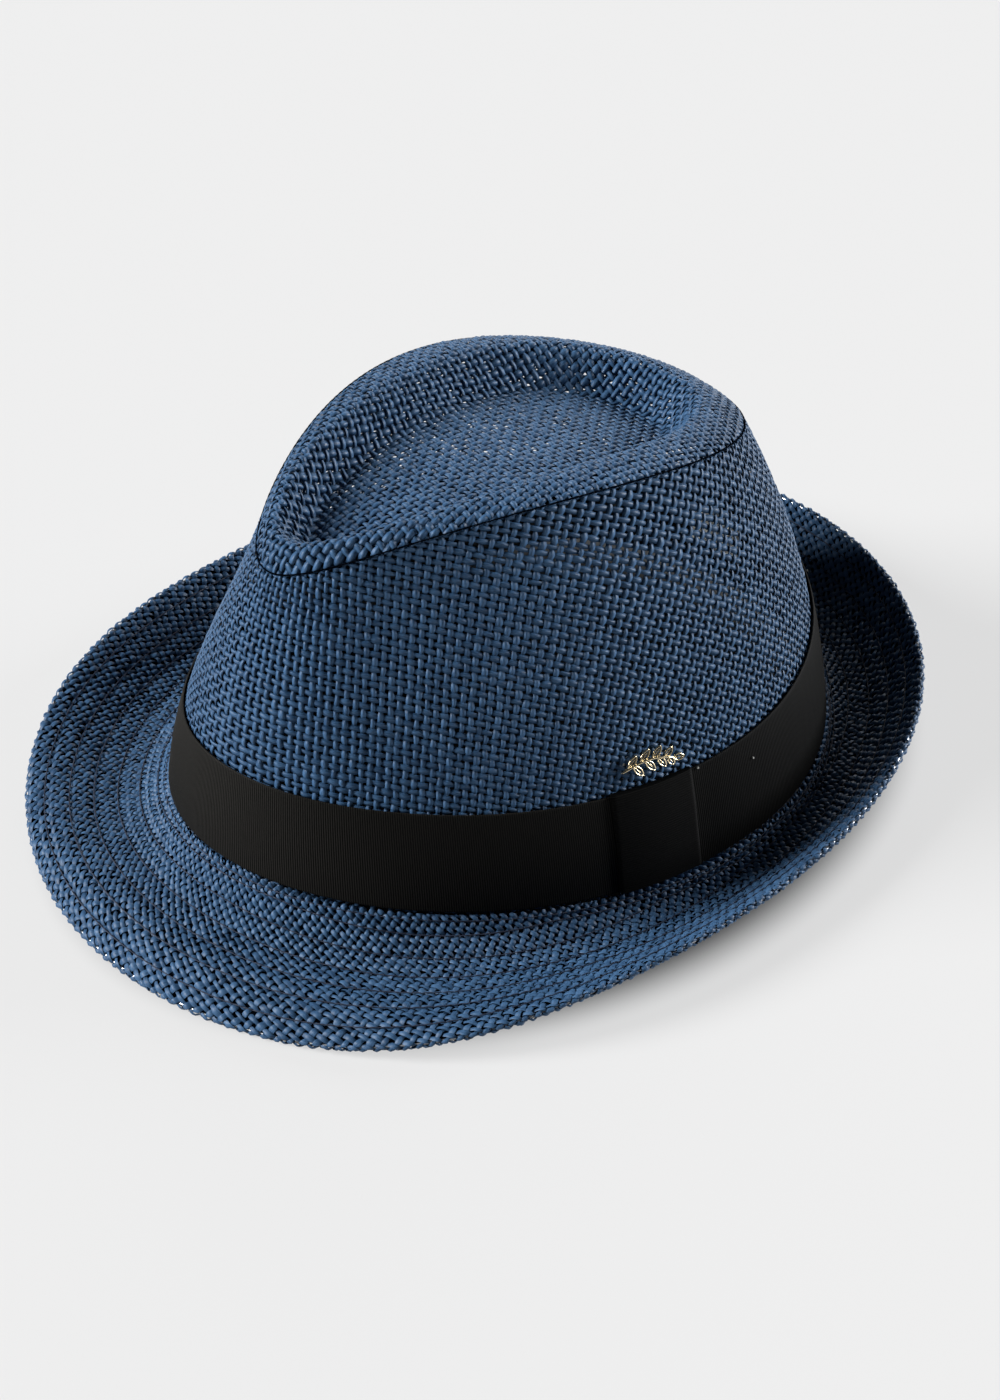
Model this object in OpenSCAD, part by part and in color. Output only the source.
// Fedora hat: a woven crown with a long centre dent, a two-ply stitched brim that dips in front and
// turns up at the sides and back, a ribbon band with its keeper, and a small leaf emblem.
// Angles run round the hat in degrees: 0 is the front (towards -Y), 90 the wearer's left (+X) and
// 180 the back. Heights on the crown's side and widths on the brim are measured along the cloth.
// The hat stands on its brim, with the origin under the middle of the brim.

/* [Head ring] */
// Half length of the ring where crown and brim meet
ring_half_length = 102; // [99:1:105]
// Half width of the ring
ring_half_width = 87.5; // [85:0.5:90]
// How much the ring narrows towards the front
ring_egg = 0.19; // [0.15:0.01:0.22]
// How square the ring is at its four corners
ring_square = 0.03; // [0.01:0.01:0.05]
// Height of the ring's front and back over its middle height
ring_saddle = 6.4; // [5.5:0.1:7]

/* [Crown] */
// Half length of the seam round the tip
seam_half_length = 86.3; // [84:0.1:88]
// Half width of that seam
seam_half_width = 43; // [41:0.5:45]
// How much the seam narrows towards the front, which makes the teardrop
seam_egg = 0.3; // [0.26:0.01:0.34]
// How square the seam's outline is
seam_square = -0.05; // [-0.07:0.01:-0.02]
// How far the seam's middle lies behind the ring's middle
seam_shift = 5; // [3:0.5:7]
// Mean height of the seam over the ring
seam_height = 94.1; // [90:0.1:98]
// Extra height of the seam's front
seam_front_rise = 8.4; // [6:0.1:10]
// How far the seam sags at the front and back
seam_sag = 8.3; // [7:0.1:9.5]
// Extra curl of the seam's front and back
seam_curl = -0.7; // [-1:0.1:0]
// How far the crown's side bulges
side_bulge = 5; // [4:0.2:6]
// Depth of the two finger pinches at the front
pinch_depth = 3.6; // [2:0.2:4]
// Where each pinch is deepest, round from the front
pinch_angle = 46; // [42:1:50]
// Length of the ridge that rolls over from seam to dent
ridge_in = 9.6; // [9:0.1:10.5]
// How much that length grows from the front to the back
ridge_in_back = 4.5; // [3.5:0.1:5]
// Rise of the ridge over the seam
ridge_rise = 3.3; // [2.5:0.1:4]
// Extra rise of the ridge at the front and back
ridge_rise_ends = 1.4; // [1:0.1:2]
// Depth of the centre dent
dent_depth = 9; // [8:0.5:13]
// Breadth of the dent's sloping wall
dent_wall = 14; // [12:0.5:15]

/* [Brim] */
// Mean width of the brim
brim_width = 41.4; // [40:0.1:44]
// Extra width in front
brim_width_front = 3.2; // [2:0.1:4]
// Extra width in front and at the back together
brim_width_ends = 4.6; // [3.5:0.1:5.5]
// Extra width behind the middle and off the front corners
brim_width_corners = 5.2; // [4:0.1:6]
// Thickness of the finished brim: two plies and the stiffener between them
brim_thickness = 3; // [2.8:0.1:3.2]
// Width of the hem turned back under the edge
hem_width = 8; // [7.4:0.2:9]
// Distance of the outermost stitch row from the edge
row_inset = 5.3; // [4.8:0.1:5.6]
// Distance between the stitch rows
row_gap = 7.1; // [6.8:0.1:7.3]

/* [Cloth and ribbon] */
// Thickness of the woven cloth
cloth = 1; // [0.8:0.1:1]
// Height of the ribbon band
ribbon_height = 31; // [28:0.5:32]
// Thickness of the ribbon
ribbon = 0.6; // [0.4:0.1:0.6]
// Middle of the keeper, round from the front
keeper_angle = 84; // [83:0.5:85]
// Width of the keeper round the ribbon, in degrees
keeper_span = 15; // [13.5:0.5:17]
// Height of the sweatband
sweatband_height = 31; // [28:0.5:32]
// Thickness of the sweatband
sweatband = 1; // [0.8:0.1:1.2]

/* [Emblem] */
// Length of the leaf emblem
emblem_length = 20; // [17:0.5:21]
// Thickness of the emblem
emblem_thickness = 1.1; // [0.8:0.1:1.4]
// Middle of the emblem, round from the front
emblem_angle = 85; // [80:1:90]
// Height of the emblem's middle on the crown's side
emblem_height = 38.5; // [38:0.5:42]

/* [Hidden] */

// Stations round the hat, and the small steps used for slopes.
angle_step = 6;
angles = [0 : angle_step : 359];
angle_nudge = 0.5;
rise_nudge = 0.01;
$fn = 32;

// Lean with which the hat settles on the two side troughs and the front of its brim.
settle_lean = -0.93;

// Brim slopes in degrees at the root, halfway and at the edge, as harmonics of the angle.
slope_root = [-104, -2, -12, -23];
slope_middle = [19, -16, -16, 5];
slope_edge = [23, -72, -19, -17];
slope_limit = 66;
slope_steps = 14;
width_wave = [brim_width, brim_width_front, brim_width_ends, -brim_width_corners];

// The crown's cloth and the layers on it, as offsets from the middle of the cloth.
half_cloth = cloth / 2;
clearance = 0.2;
band_inner = half_cloth + clearance;
band_outer = band_inner + ribbon;
keeper_inner = band_outer + clearance;
keeper_outer = keeper_inner + ribbon;
tape_gap = 0.3;
tape_thickness = 0.4;
tape_outer = -half_cloth - tape_gap;
tape_inner = tape_outer - tape_thickness;
sweatband_inner = tape_outer - sweatband;
label_thickness = 0.4;
label_outer = sweatband_inner - clearance;
label_inner = label_outer - label_thickness;

// Heights on the crown's side, and distances down from the seam, where the strips lie.
band_low = 1;
band_high = band_low + ribbon_height;
sweatband_low = 0.5;
sweatband_row = 3;
seam_tape_top = 2;
seam_tape_foot = 10;
back_tape_foot = band_high + 2;
back_tape_top = 12;

// Places on the brim and the thread sizes.
half_brim = brim_thickness / 2;
brim_start = 1.2;
interlining_inset = 1.2;
interlining = half_brim - cloth - clearance;
wire_radius = 0.4;
thread_radius = 0.3;
thread_gap = 0.05;
thread_lift = half_brim + thread_radius + thread_gap;
root_row = 2.6;
row_count = 6;
row_floor = 0.045;
hem_gap = 0.5;

// Pinch breadth in degrees ahead of its deepest line and behind it, and its height on the crown.
pinch_ahead = 17;
pinch_behind = 34;
pinch_peak = pow(0.75, 3) * 0.25;

// Centre of the rings that the tip is drawn with, and their distances from the seam.
tip_centre = 8.4;
tip_rings = [0.3, 2.5, 5.5, 9, 13, 17.5, 22, 30];
seam_gap = 1.2;
seam_thread_radius = 0.3;

// Stations up the crown's side.
side_steps = 8;

// The back seam's tape and the label share these stations.
back_stations = [180 - angle_step, 180, 180 + angle_step];
label_low = 7;
label_high = 21;
label_row_inset = 1;
label_row_share = 0.8;
label_thread_radius = 0.25;
label_thread_lift = label_thread_radius + 0.1;

// The emblem's legs, the holes they pass through and the washers behind them.
emblem_back = half_cloth + 0.4;
leg_reach = 6;
leg_radius = 0.5;
leg_hole = 0.65;
leg_end = -2.2;
washer_radius = 2.4;
washer_thickness = 0.4;
washer_front = -half_cloth - 0.4;
emblem_turn = -7;
leaf_pairs = 4;

// Sums, unit vectors and smooth steps.
function total(list) = [for (item = list) 1] * list;
function unit(v) = v / norm(v);
function wave(c, a) = total([for (k = [0 : len(c) - 1]) c[k] * cos(k * a)]);
function clamp(x) = min(max(x, 0), 1);
function smooth(x) = let (s = clamp(x)) s * s * (3 - 2 * s);

// The ring where crown and brim meet, and the level direction straight out from it.
function ring(a) = [ring_half_width * sin(a) * (1 - ring_egg * cos(a) + ring_square * cos(2 * a)),
                    -ring_half_length * cos(a),
                    ring_saddle * cos(2 * a)];
function outward(a) = let (d = ring(a + angle_nudge) - ring(a - angle_nudge)) unit([d.y, -d.x, 0]);

// The seam round the tip: its level depends only on how far forward it is.
function level(c) = seam_height + seam_front_rise * c - seam_sag * (2 * c * c - 1)
                    + seam_curl * (4 * c * c * c - 3 * c);
function seam(a) = [seam_half_width * sin(a) * (1 - seam_egg * cos(a) + seam_square * cos(2 * a)),
                    seam_shift - seam_half_length * cos(a),
                    level(cos(a))];

// The crown's side, from the ring (t = 0) to the seam (t = 1), bulged out and pinched in front.
function from_front(a) = abs(((a + 180) % 360) - 180);
function pinch(a) = let (d = from_front(a) - pinch_angle, b = d < 0 ? pinch_ahead : pinch_behind)
    exp(-d * d / (b * b));
function bulge(a, t) = side_bulge * 4 * t * (1 - t)
    - pinch_depth * pinch(a) * t * t * t * (1 - t) / pinch_peak;
function side(a, t) = ring(a) + (seam(a) - ring(a)) * t + outward(a) * bulge(a, t);
function side_normal(a, t) = unit(cross(side(a + angle_nudge, t) - side(a - angle_nudge, t),
                                        side(a, t + rise_nudge) - side(a, t - rise_nudge)));
function side_length(a) = norm(seam(a) - ring(a));
function side_at(a, height, offset) = let (t = height / side_length(a))
    side(a, t) + offset * side_normal(a, t);

// The brim: its slope at v of the way out, the path that slope gives, and a point off its middle.
function slope(a, v) = let (x = wave(slope_root, a) * (2 * v - 1) * (v - 1)
                                + wave(slope_middle, a) * 4 * v * (1 - v)
                                + wave(slope_edge, a) * v * (2 * v - 1))
    x / sqrt(1 + pow(x / slope_limit, 2));
function width(a) = wave(width_wave, a);
function brim_ahead(a, v) = outward(a) * cos(slope(a, v)) + [0, 0, sin(slope(a, v))];
function brim_up(a, v) = [0, 0, cos(slope(a, v))] - outward(a) * sin(slope(a, v));
function brim(a, v) = ring(a)
    + total([for (k = [0 : slope_steps - 1]) brim_ahead(a, v * (k + 0.5) / slope_steps)])
      * v * width(a) / slope_steps;
function brim_at(a, v, offset) = brim(a, v) + offset * brim_up(a, v);

// Stations across the brim: the root, the stitch rows and the edge.
function row_v(a, k) = max(1 - (row_inset + row_gap * (row_count - k)) / width(a),
                           row_floor * (k + 1));
function root_v(a) = brim_start / width(a);
function row_stations(a) = concat([root_v(a)], [for (k = [1 : row_count]) row_v(a, k)]);

// The under ply shares the stations up to the second row from the edge, then meets the hem.
function under_stations(a) = concat([root_v(a)], [for (k = [1 : row_count - 1]) row_v(a, k)],
                                    [1 - (hem_width + hem_gap) / width(a)]);

// The tip: a ridge that rolls over from the seam, then the dent's wall and its long floor.
function tip_reach(a) = norm([seam(a).x, seam(a).y - tip_centre]);
function tip(a, d) = let (s = seam(a),
                          t = d / tip_reach(a),
                          x = s.x * (1 - t),
                          y = s.y + (tip_centre - s.y) * t,
                          roll = ridge_in - ridge_in_back * cos(a),
                          rise = ridge_rise + ridge_rise_ends * cos(2 * a),
                          sunk = smooth((d - roll) / dent_wall),
                          up = rise * sin(90 * min(d / roll, 1)) * (1 - sunk))
    [x, y, level((seam_shift - y) / seam_half_length) + up - dent_depth * sunk];
function tip_normal(a, d) = unit(cross(tip(a + angle_nudge, d) - tip(a - angle_nudge, d),
                                       tip(a, d + 0.1) - tip(a, d - 0.1)));
function tip_at(a, d, offset) = tip(a, d) + offset * tip_normal(a, d);
function tip_pole(offset) = [0, tip_centre,
                             level((seam_shift - tip_centre) / seam_half_length) - dent_depth + offset];

// Cross-sections. Each is a closed loop that turns from out to up; the second half of the loop
// runs back along the first half.
function loop(first, second) = concat(first, [for (k = [len(second) - 1 : -1 : 0]) second[k]]);
function side_section(a, heights, outer, inner) = loop([for (h = heights) side_at(a, h, outer)],
                                                       [for (h = heights) side_at(a, h, inner)]);
function brim_section(a, stations, low, high) = loop([for (v = stations) brim_at(a, v, low)],
                                                     [for (v = stations) brim_at(a, v, high)]);
function spread(low, high, steps) = [for (k = [0 : steps]) low + (high - low) * k / steps];
function round_loop(centre, right, up, radius, sides) =
    [for (k = [0 : sides - 1]) centre + radius * (right * cos(360 * k / sides)
                                                  + up * sin(360 * k / sides))];
function brim_thread(a, v) = round_loop(brim_at(a, v, thread_lift), brim_ahead(a, v), brim_up(a, v),
                                        thread_radius, 4);
function side_thread(a, height, offset, radius) =
    round_loop(side_at(a, height, offset), side_normal(a, height / side_length(a)), [0, 0, 1],
               radius, 4);

// The upper ply's path: out over the brim, half round the edge and back under as the hem.
function fold_path(a, out_radius) = concat(
    [for (v = row_stations(a)) brim_at(a, v, out_radius)],
    [for (turn = [90 : -45 : -90]) brim(a, 1) + out_radius * (brim_ahead(a, 1) * cos(turn)
                                                             + brim_up(a, 1) * sin(turn))],
    [for (v = [row_v(a, row_count), 1 - hem_width / width(a)]) brim_at(a, v, -out_radius)]);
function upper_section(a) = loop(fold_path(a, half_brim - cloth), fold_path(a, half_brim));

// Where the hat stands: the brim's cross-sections after the lean give its lowest point and middle.
upper_sections = [for (a = angles) upper_section(a)];
function leaned(p) = [p.x, p.y * cos(settle_lean) - p.z * sin(settle_lean),
                      p.y * sin(settle_lean) + p.z * cos(settle_lean)];
brim_cloud = [for (section = upper_sections) for (p = section) leaned(p)];
trough_cloud = [for (a = angles) for (v = row_stations(a)) leaned(brim_at(a, v, -half_brim))];
lowest = min(concat([for (p = brim_cloud) p.z], [for (p = trough_cloud) p.z]));
front_y = min([for (p = brim_cloud) p.y]);
back_y = max([for (p = brim_cloud) p.y]);

// The band's stations run from one side of its join, under the keeper, round to the other.
band_stations = concat([keeper_angle + 0.3],
                       [for (a = [ceil((keeper_angle + 1) / angle_step) * angle_step : angle_step
                                  : keeper_angle + 359]) a],
                       [keeper_angle + 359.7]);
keeper_half = keeper_span / 2;
keeper_stations = concat([keeper_angle - keeper_half],
                         [for (a = [ceil((keeper_angle - keeper_half + 0.2) / angle_step) * angle_step
                                    : angle_step : keeper_angle + keeper_half - 0.2]) a],
                         [keeper_angle + keeper_half]);

// The keeper is a C round the ribbon: its front and a return over the top and bottom edges.
function keeper_path(a, offset, margin) = concat(
    [side_at(a, band_low - margin, band_inner)],
    [for (h = spread(band_low - margin, band_high + margin, 3)) side_at(a, h, offset)],
    [side_at(a, band_high + margin, band_inner)]);
function keeper_section(a) = loop(keeper_path(a, keeper_outer, clearance + ribbon),
                                  keeper_path(a, keeper_inner, clearance));

// Thread tacks that hold the ribbon: each has its angle and height.
tack_edge = band_high - 0.8;
tack_radius = 0.3;
tack_height = 0.4;
tack_lift = 0.1;
tacks = [[93.2, tack_edge], [105, 24], [150, tack_edge], [195, tack_edge], [240, tack_edge],
         [285, tack_edge]];

// The emblem's leaves.
stem_breadth = 0.9;
leaf_length = 6;
leaf_breadth = 2.2;
leaf_tilt = 42;
leaf_start = -emblem_length * 0.36;
leaf_pitch = emblem_length * 0.165;

module stand() {
    translate([0, -(front_y + back_y) / 2, -lowest]) rotate([settle_lean, 0, 0]) children();
}

// A solid swept all the way round the hat through closed sections.
module closed_sweep(sections) {
    n = len(sections);
    m = len(sections[0]);
    polyhedron(points = [for (section = sections) for (p = section) p],
               faces = [for (i = [0 : n - 1]) for (j = [0 : m - 1])
                            let (k = (i + 1) % n, l = (j + 1) % m)
                            for (face = [[i * m + j, i * m + l, k * m + l],
                                         [i * m + j, k * m + l, k * m + j]]) face],
               convexity = 8);
}

// A solid swept along an open run of sections, with an end face at either end.
module open_sweep(sections) {
    n = len(sections);
    m = len(sections[0]);
    last = (n - 1) * m;
    polyhedron(points = [for (section = sections) for (p = section) p],
               faces = concat(
                   [for (i = [0 : n - 2]) for (j = [0 : m - 1])
                        let (l = (j + 1) % m)
                        for (face = [[i * m + j, i * m + l, (i + 1) * m + l],
                                     [i * m + j, (i + 1) * m + l, (i + 1) * m + j]]) face],
                   [for (j = [0 : m / 2 - 2])
                        for (face = [[m - 1 - j, m - 2 - j, j + 1], [m - 1 - j, j + 1, j]]) face],
                   [for (j = [0 : m / 2 - 2])
                        for (face = [[last + j, last + j + 1, last + m - 2 - j],
                                     [last + j, last + m - 2 - j, last + m - 1 - j]]) face]),
               convexity = 6);
}

// A thin dome: rings of outer and inner points from the rim to one pole each.
module dome(outer, inner, outer_pole, inner_pole) {
    n = len(outer);
    m = len(outer[0]);
    below = n * m;
    top = 2 * n * m;
    polyhedron(points = concat([for (row = outer) for (p = row) p],
                               [for (row = inner) for (p = row) p],
                               [outer_pole, inner_pole]),
               faces = concat(
                   [for (k = [0 : n - 2]) for (i = [0 : m - 1])
                        let (j = (i + 1) % m, u = k * m, w = (k + 1) * m)
                        for (face = [[u + i, w + i, w + j], [u + i, w + j, u + j],
                                     [below + u + i, below + u + j, below + w + j],
                                     [below + u + i, below + w + j, below + w + i]]) face],
                   [for (i = [0 : m - 1])
                        let (j = (i + 1) % m, w = (n - 1) * m)
                        for (face = [[i, j, below + j], [i, below + j, below + i],
                                     [w + i, top, w + j],
                                     [below + w + i, below + w + j, top + 1]]) face]),
               convexity = 8);
}

// Puts its children on the crown's side, with Z out of the cloth, X towards the back and Y up.
module on_side(a, height) {
    n = side_normal(a, height / side_length(a));
    translate(side_at(a, height, 0))
        rotate([0, 0, atan2(n.y, n.x) + 90]) rotate([90 - asin(n.z), 0, 0]) children();
}

module at_legs() {
    on_side(emblem_angle, emblem_height) rotate([0, 0, emblem_turn])
        for (x = [-leg_reach, leg_reach]) translate([x, 0, 0]) children();
}

// One leaf: the lens where two circles overlap, lying along X from the origin.
module leaf(length, breadth) {
    radius = (length * length / 4 + breadth * breadth / 4) / breadth;
    aside = radius - breadth / 2;
    intersection() {
        translate([length / 2, aside, 0]) cylinder(r = radius, h = emblem_thickness);
        translate([length / 2, -aside, 0]) cylinder(r = radius, h = emblem_thickness);
    }
}

module crown_tip() {
    color("#2f4f7a") stand()
        dome([for (d = tip_rings) [for (a = angles) tip_at(a, d, half_cloth)]],
             [for (d = tip_rings) [for (a = angles) tip_at(a, d, -half_cloth)]],
             tip_pole(half_cloth), tip_pole(-half_cloth));
}

module crown_side() {
    color("#2c4a74") stand() difference() {
        closed_sweep([for (a = angles)
            side_section(a, spread(0, side_length(a) - seam_gap, side_steps), half_cloth, -half_cloth)]);
        at_legs() translate([0, 0, leg_end]) cylinder(r = leg_hole, h = 2 * emblem_back - leg_end);
    }
}

module brim_upper() {
    color("#2b486f") stand() closed_sweep(upper_sections);
}

module brim_under() {
    color("#27426a") stand()
        closed_sweep([for (a = angles)
            brim_section(a, under_stations(a), -half_brim, cloth - half_brim)]);
}

module brim_interlining() {
    color("#10141e") stand()
        closed_sweep([for (a = angles)
            brim_section(a, concat(row_stations(a), [1 - interlining_inset / width(a)]),
                         -interlining, interlining)]);
}

module brim_edge_wire() {
    color("#8f9296") stand()
        closed_sweep([for (a = angles)
            round_loop(brim(a, 1), brim_ahead(a, 1), brim_up(a, 1), wire_radius, 6)]);
}

module brim_stitching() {
    color("#22385a") stand() for (k = [1 : row_count])
        closed_sweep([for (a = angles) brim_thread(a, row_v(a, k))]);
}

module root_thread() {
    color("#22385a") stand()
        closed_sweep([for (a = angles) brim_thread(a, root_row / width(a))]);
}

module tip_seam_thread() {
    color("#1b2c48") stand()
        closed_sweep([for (a = angles)
            side_thread(a, side_length(a) - seam_gap / 2, 0, seam_thread_radius)]);
}

module tip_seam_tape() {
    color("#1c1d20") stand()
        closed_sweep([for (a = angles)
            side_section(a, spread(side_length(a) - seam_tape_foot, side_length(a) - seam_tape_top, 2),
                         tape_outer, tape_inner)]);
}

module back_seam_tape() {
    color("#1c1d20") stand()
        open_sweep([for (a = back_stations)
            side_section(a, spread(back_tape_foot, side_length(a) - back_tape_top, 6),
                         tape_outer, tape_inner)]);
}

module sweatband_strip() {
    color("#15161a") stand()
        closed_sweep([for (a = angles)
            side_section(a, spread(sweatband_low, sweatband_low + sweatband_height, 3),
                         tape_outer, sweatband_inner)]);
}

module sweatband_thread() {
    color("#303238") stand()
        closed_sweep([for (a = angles)
            side_thread(a, sweatband_row, sweatband_inner - thread_radius - thread_gap, thread_radius)]);
}

module size_label() {
    color("#e9e6df") stand()
        open_sweep([for (a = back_stations)
            side_section(a, spread(label_low, label_high, 2), label_outer, label_inner)]);
}

module label_thread() {
    color("#f4f2ec") stand()
        for (a = [180 - label_row_share * angle_step, 180 + label_row_share * angle_step])
            open_sweep([for (h = spread(label_low + label_row_inset, label_high - label_row_inset, 2))
                round_loop(side_at(a, h, label_inner - label_thread_lift), outward(a),
                           -outward(a + 90), label_thread_radius, 4)]);
}

module hat_band() {
    color("#17171a") stand()
        open_sweep([for (a = band_stations)
            side_section(a, spread(band_low, band_high, 3), band_outer, band_inner)]);
}

module band_keeper() {
    color("#141417") stand()
        open_sweep([for (a = keeper_stations) keeper_section(a)]);
}

module band_tacks() {
    color("#c9c9c6") stand() for (tack = tacks)
        on_side(tack[0], tack[1]) translate([0, 0, band_outer + tack_lift])
            cylinder(r = tack_radius, h = tack_height);
}

module badge_emblem() {
    color("#d9c7a0") stand() on_side(emblem_angle, emblem_height)
        rotate([0, 0, emblem_turn]) translate([0, 0, emblem_back]) {
            translate([-emblem_length / 2, -stem_breadth / 2, 0])
                cube([emblem_length * 0.8, stem_breadth, emblem_thickness]);
            for (k = [0 : leaf_pairs - 1]) for (side = [-1, 1])
                translate([leaf_start + k * leaf_pitch, 0, 0])
                    rotate([0, 0, side * leaf_tilt]) leaf(leaf_length - 0.5 * k, leaf_breadth);
            translate([emblem_length / 2 - leaf_length, 0, 0]) leaf(leaf_length, leaf_breadth);
        }
}

module badge_prongs() {
    color("#b9a77f") stand() at_legs()
        translate([0, 0, leg_end]) cylinder(r = leg_radius, h = emblem_back - leg_end);
}

module badge_washers() {
    color("#a9a9a6") stand() at_legs() translate([0, 0, washer_front - washer_thickness])
        difference() {
            cylinder(r = washer_radius, h = washer_thickness);
            translate([0, 0, -1]) cylinder(r = leg_radius + 0.05, h = washer_thickness + 2);
        }
}

crown_tip();
crown_side();
brim_upper();
brim_under();
brim_interlining();
brim_edge_wire();
brim_stitching();
root_thread();
tip_seam_thread();
tip_seam_tape();
back_seam_tape();
sweatband_strip();
sweatband_thread();
size_label();
label_thread();
hat_band();
band_keeper();
band_tacks();
badge_emblem();
badge_prongs();
badge_washers();
